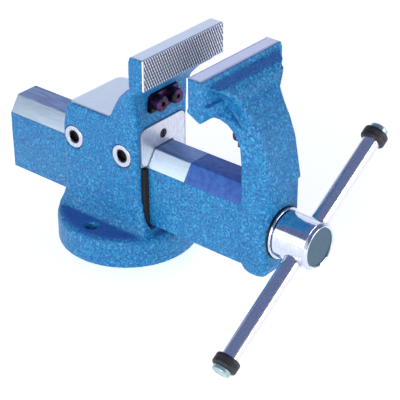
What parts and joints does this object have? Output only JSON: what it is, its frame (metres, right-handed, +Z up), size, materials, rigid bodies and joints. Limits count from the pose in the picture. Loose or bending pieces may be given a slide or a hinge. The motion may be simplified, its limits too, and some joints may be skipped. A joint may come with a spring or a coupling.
{
  "type": "bench vise",
  "caption": "Forged bench vise on a round bolt-down base, with serrated jaws, pipe jaws, a chamfered slide and a screw spindle turned by a sliding handle rod.",
  "frame": {"origin": "centre of the round base, on the bench plane that its underside rests on", "axes": "+Z up, +Y from the spindle head towards the rear end of the slide, X along the jaws; the handle's higher end is at +X"},
  "size_m": [0.266, 0.406, 0.2648],
  "materials": {
    "blue_paint": "hammered semi-gloss blue enamel",
    "machined_steel": "ground",
    "dark_steel": "blackened",
    "bright_steel": "turned and polished",
    "bronze": "machined",
    "cap_steel": "plated",
    "black_rubber": "matt"
  },
  "bodies": {
    "frame": {"fixed_body": "blue_paint", "guide_plate": "machined_steel", "guide_plate_screw": "dark_steel", "gib_left": "machined_steel", "gib_right": "machined_steel", "pipe_jaw_fixed": "dark_steel", "pipe_jaw_fixed_screw_left": "dark_steel", "pipe_jaw_fixed_screw_right": "dark_steel", "spindle_nut": "bronze", "nut_bolt_front": "dark_steel", "nut_bolt_rear": "dark_steel"},
    "moving_jaw_and_slide": {"moving_jaw": "blue_paint", "pipe_jaw_moving": "dark_steel", "pipe_jaw_moving_screw_left": "dark_steel", "pipe_jaw_moving_screw_right": "dark_steel", "thrust_washer": "dark_steel"},
    "spindle_and_collar": {"spindle": "bright_steel", "retaining_collar": "dark_steel", "collar_pin": "bright_steel"},
    "handle": {"handle_rod": "bright_steel", "handle_cap_lower": "cap_steel", "handle_cap_upper": "cap_steel", "handle_ring_lower": "black_rubber", "handle_ring_upper": "black_rubber"},
    "adjusting_screw_left_front": {"adjusting_screw_left_front": "bright_steel"},
    "adjusting_screw_left_rear": {"adjusting_screw_left_rear": "bright_steel"},
    "adjusting_screw_right_front": {"adjusting_screw_right_front": "bright_steel"},
    "adjusting_screw_right_rear": {"adjusting_screw_right_rear": "bright_steel"}
  },
  "joints": [
    {"name": "jaw_slide", "type": "slide", "parent": "frame", "child": "moving_jaw_and_slide", "axis": [0, -1, 0], "range_m": [-0.0547, 0.088]},
    {"name": "spindle_turn", "type": "hinge", "parent": "moving_jaw_and_slide", "child": "spindle_and_collar", "pos_m": [0, -0.214, 0.08], "axis": [0, -1, 0], "range_deg": [-3300, 5300]},
    {"name": "handle_slide", "type": "slide", "parent": "spindle_and_collar", "child": "handle", "axis": [0.8443, 0, 0.5358], "range_m": [-0.1012, 0.1152]},
    {"name": "adjusting_screw_left_front_turn", "type": "hinge", "parent": "frame", "child": "adjusting_screw_left_front", "pos_m": [-0.0415, -0.03, 0.121], "axis": [-1, 0, 0], "range_deg": [-90, 90]},
    {"name": "adjusting_screw_left_rear_turn", "type": "hinge", "parent": "frame", "child": "adjusting_screw_left_rear", "pos_m": [-0.0415, 0.038, 0.121], "axis": [-1, 0, 0], "range_deg": [-90, 90]},
    {"name": "adjusting_screw_right_front_turn", "type": "hinge", "parent": "frame", "child": "adjusting_screw_right_front", "pos_m": [0.0415, -0.03, 0.121], "axis": [1, 0, 0], "range_deg": [-90, 90]},
    {"name": "adjusting_screw_right_rear_turn", "type": "hinge", "parent": "frame", "child": "adjusting_screw_right_rear", "pos_m": [0.0415, 0.038, 0.121], "axis": [1, 0, 0], "range_deg": [-90, 90]}
  ],
  "couplings": [
    {"joint": "spindle_turn", "follows": "jaw_slide", "rad_per_m": 1047.2}
  ]
}
